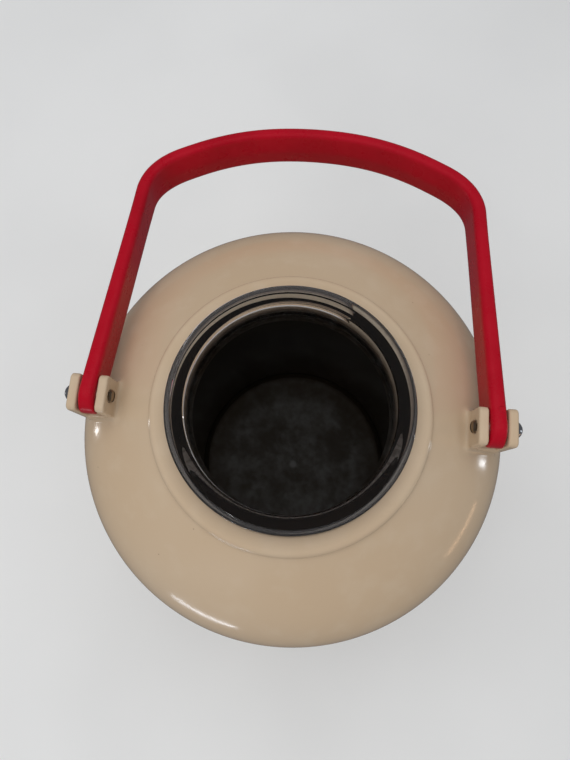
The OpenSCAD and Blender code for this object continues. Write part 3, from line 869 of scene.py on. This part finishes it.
# %% The strap's section along the line
def section(half_t, half_w, ridge):
    """A rounded oblong, (out, up), with a low ridge on its inner side."""
    r = min(2.1, half_w * 0.45, half_t * 0.8)
    steps = [i / 4 for i in range(-3, 4)]
    in_t, in_w = half_t - r, half_w - r
    corners = [(in_t, in_w, 0), (-in_t, in_w, 90), (-in_t, -in_w, 180), (in_t, -in_w, 270)]
    out = []
    for n, (cx, cy, start) in enumerate(corners):
        out += arc(cx, cy, r, start, start + 90, 4)
        if n == 1:
            out += [(-half_t - ridge * (1 - abs(s)) ** 0.85, in_w * s) for s in reversed(steps)]
        if n == 3:
            out += [(half_t + ridge * 0.25 * (1 - s * s), in_w * s) for s in steps]
    return out


# Each change of section, as where it starts, from the nearer end, and the length that it takes.
SLIM, BROADEN, SINK, RISE = (8, 80), (80, 40), (100, 30), (96, 30)


def eased(along, start, over):
    """A soft step from 0 to 1, from the length start along the strap to start + over."""
    t = max(0.0, min(1.0, (along - start) / over))
    return t * t * (3 - 2 * t)


def strap_rings():
    lengths = [0.0]
    for a, b in zip(line, line[1:]):
        lengths.append(lengths[-1] + math.dist(a, b))
    total = lengths[-1]
    tip = STRAP_W / 2
    rings = []
    cap = [math.sin(math.radians(a)) for a in (83, 76, 68, 60, 50, 40, 30, 20, 10)]
    before = [(line[0][0], -tip * s, -tip * s) for s in cap]
    stations = before + [(x, y, s) for (x, y), s in zip(line, lengths)]
    stations += [(line[-1][0], -tip * s, total + tip * s) for s in reversed(cap)]
    for i, (x, y, s) in enumerate(stations):
        a, b = stations[max(0, i - 1)], stations[min(len(stations) - 1, i + 1)]
        way = Vector((b[0] - a[0], b[1] - a[1])).normalized()
        if s <= 0 or s >= total:
            way = Vector((0, 1 if s <= 0 else -1))
        outward = Vector((way.y, -way.x))
        end = min(s, total - s)
        half_w = math.sqrt(max(0.02, tip * tip - end * end)) if end < 0 else tip
        half_t = (HUB_T - (HUB_T - LEG_T) * eased(end, *SLIM)) / 2
        if end < 0:
            half_t -= 0.5 * (1 - half_w / tip) ** 2
        half_w += (GRIP_W - STRAP_W) / 2 * eased(end, *BROADEN)
        inset = GRIP_INSET * eased(end, *SINK)
        ridge = RIDGE * eased(end, *RISE)
        rings.append([Vector((x + outward.x * (n - inset), y + outward.y * (n - inset), u)) * MM
                      for n, u in section(half_t, half_w, ridge)])
    return rings


bail = extrude_rings("bail_strap", strap_rings(), filled=True)
MARK_R, MARK_ALONG, MARK_DEPTH = 1.35, 4.9, 0.35
for side in (-1, 1):
    fresh()
    place = (side * (PIVOT_R + 0.8) * MM, MARK_ALONG * MM, (STRAP_W / 2 + 1 - MARK_DEPTH) * MM)
    bpy.ops.mesh.primitive_cylinder_add(vertices=32, radius=MARK_R * MM, depth=2 * MM, location=place)
    cut(bail, settle("ejector_pin"))
fresh()
bail.select_set(True)
bpy.context.view_layer.objects.active = bail
bail.matrix_world = (Matrix.Translation((0, 0, PIVOT_Z * MM))
                     @ Matrix.Rotation(math.radians(-REST), 4, "X"))
bpy.ops.object.transform_apply(location=True, rotation=True, scale=True)
for side in (-1, 1):
    cut(bail, x_bar("pin_hole", BORE_R, side * (PIVOT_R - 6), side * (PIVOT_R + 6)))
smooth(bail, 40)
wear(bail, red, "bail", "bail_red", "bail_handle")

# %% [markdown]
# ## Posts and screws
# A barrel post goes through both ears with a domed head outside. A screw with a slot closes it from
# inside. Both are turned about the pivot's own line, and a thin block cuts the slot.

# %% Posts and screws
def turned_on_pivot(name, points):
    """Spins a line of (radius, x) about the pivot's own line."""
    return spun(name, points, 48, centre=(0, 0, PIVOT_Z), axis=(1, 0, 0),
                plane=lambda r, x: Vector((x, 0, PIVOT_Z + r)))


HEAD_R, HEAD_H, POST_R, SHANK_R = 3.6, 3.0, 2.2, 1.25
cap_r = (HEAD_R ** 2 + HEAD_H ** 2) / (2 * HEAD_H)
cap_angle = math.degrees(math.asin((HEAD_R - 0.25) / cap_r))
ear_out, ear_in = FOOT_X[1], FOOT_X[0]


def post(name):
    head = ([(HEAD_R - 0.2, ear_out + 0.02), (HEAD_R, ear_out + 0.2)]
            + arc(0, ear_out + HEAD_H - cap_r, cap_r, 90 - cap_angle, 90, 10))
    line = ([(SHANK_R + 0.05, ear_in + 0.6), (POST_R, ear_in + 0.6), (POST_R, ear_out + 0.02)] + head
            + [(0, ear_out - 3.6), (SHANK_R + 0.05, ear_out - 3.6), (SHANK_R + 0.05, ear_in + 0.6)])
    return turned_on_pivot(name, line)


def screw(name):
    r, end, slot_deep, slot_half = 2.4, ear_in - 1.6, 0.85, 0.42
    line = [(0, end), (0.8, end + 0.03), (1.5, end + 0.18), (2.0, end + 0.42), (2.25, end + 0.68),
            (r, ear_in - 0.6), (r, ear_in - 0.1), (r - 0.1, ear_in), (SHANK_R, ear_in),
            (SHANK_R, PIVOT_R + 1), (0, PIVOT_R + 1)]
    piece = turned_on_pivot(name, line)
    cut(piece, block("driver_slot", (end - 1, -5, PIVOT_Z - slot_half),
                     (end + slot_deep, 5, PIVOT_Z + slot_half)))
    return smooth(piece, 35)


for name, make, finish, slot_name in (("pivot_post", post, bright, "post_bright"),
                                      ("pivot_screw", screw, bronzed, "screw_dark")):
    right = make(name + "_right_turned")
    left = smooth(mirrored(right, name + "_left_turned"), 35)
    wear(right, finish, "pot", slot_name, name + "_right")
    wear(left, finish, "pot", slot_name, name + "_left")

# %% [markdown]
# ## Seals, foot ring and plug
# Rubber and moulded edges are never square. Each ring is a rounded oblong that is spun, the foot ring
# has two shallow grooves that grip the table, and the plug that carries the vessel has a coin slot.

# %% Rounded rings
def rounded(r0, r1, z0, z1, soft):
    """The outline of an oblong with soft corners, as a closed line."""
    corners = [(r1 - soft, z1 - soft, 0), (r0 + soft, z1 - soft, 90), (r0 + soft, z0 + soft, 180),
               (r1 - soft, z0 + soft, 270)]
    around = [p for r, z, start in corners for p in arc(r, z, soft, start, start + 90, 5)]
    return around + [around[0]]


seal = spun("neck_seal_ring", rounded(NECK_R + 0.3, FLANGE_R, FLANGE_TOP, SEAL_TOP, 0.5),
            steps=FINE_STEPS)
wear(seal, rubber_with_painted_shade(), "pot", "seal_pale", "neck_seal")

RING_IN, RING_OUT, RING_TOP, RING_EASE, GROOVE_DEEP = 64.0, 70.0, 3.3, 0.6, 0.32
sole = arc(RING_IN + RING_EASE, RING_EASE, RING_EASE, 180, 270, 4)
for groove in (66.0, 68.0):
    sole += [(groove - 0.55, 0), (groove - 0.35, GROOVE_DEEP), (groove + 0.35, GROOVE_DEEP),
             (groove + 0.55, 0)]
sole += arc(RING_OUT - RING_EASE, RING_EASE, RING_EASE, 270, 360, 4)
ring_line = [(RING_IN, RING_TOP)] + sole + [(RING_OUT, RING_TOP), (RING_IN, RING_TOP)]
grip_ring = spun("foot_ring_moulding", ring_line, steps=FINE_STEPS)
wear(grip_ring, foot_rubber, "pot", "foot_rubber", "foot_ring")

# %% The plug and the vessel's cushion
PLUG_R, PLUG_Z, PAD_H = 17.0, 2.4, 7.0
PAD_Z = V_FLOOR - V_WALL - PAD_H
COIN_HALF_L, COIN_HALF_W, COIN_DEEP = 13, 1.6, 2.5
plug = spun("support_plug_moulding", [(0, PLUG_Z)] + arc(PLUG_R - 0.8, PLUG_Z + 0.8, 0.8, -90, 0, 5)
            + arc(PLUG_R - 0.4, PAD_Z - 0.4, 0.4, 0, 90, 3) + [(0, PAD_Z)], steps=128)
cut(plug, block("coin_slot", (-COIN_HALF_L, -COIN_HALF_W, 0),
                (COIN_HALF_L, COIN_HALF_W, PLUG_Z + COIN_DEEP)))
wear(smooth(plug, 35), base_plastic, "pot", "base_beige", "support_plug")
pad = spun("vessel_cushion_pad", [(0, PAD_Z)] + arc(15.2, PAD_Z + 0.8, 0.8, -90, 0, 4)
           + arc(14.6, PAD_Z + PAD_H - 1.4, 1.4, 0, 90, 6) + [(0, PAD_Z + PAD_H)], steps=96)
wear(pad, seal_rubber, "pot", "seal_pale", "vessel_cushion")

# %% [markdown]
# ## What stays as it is
# The washers, foam and base parts have their true shape already. They keep it and take a finish each.

# %% Finishes on the ready-made nodes
def repaint(finish, *names):
    for name in names:
        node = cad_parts[name]
        node.data.materials.clear()
        node.data.materials.append(finish)


repaint(washer_nylon, "washer_left_outer", "washer_left_inner",
        "washer_right_outer", "washer_right_inner")
repaint(foam, "upper_insulation", "lower_insulation")
repaint(base_plastic, "base_cover")
repaint(zinc, "base_screws")
print("repainted nodes:", sum(not n.hide_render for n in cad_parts.values()))

# %% Leave nothing selected
fresh()
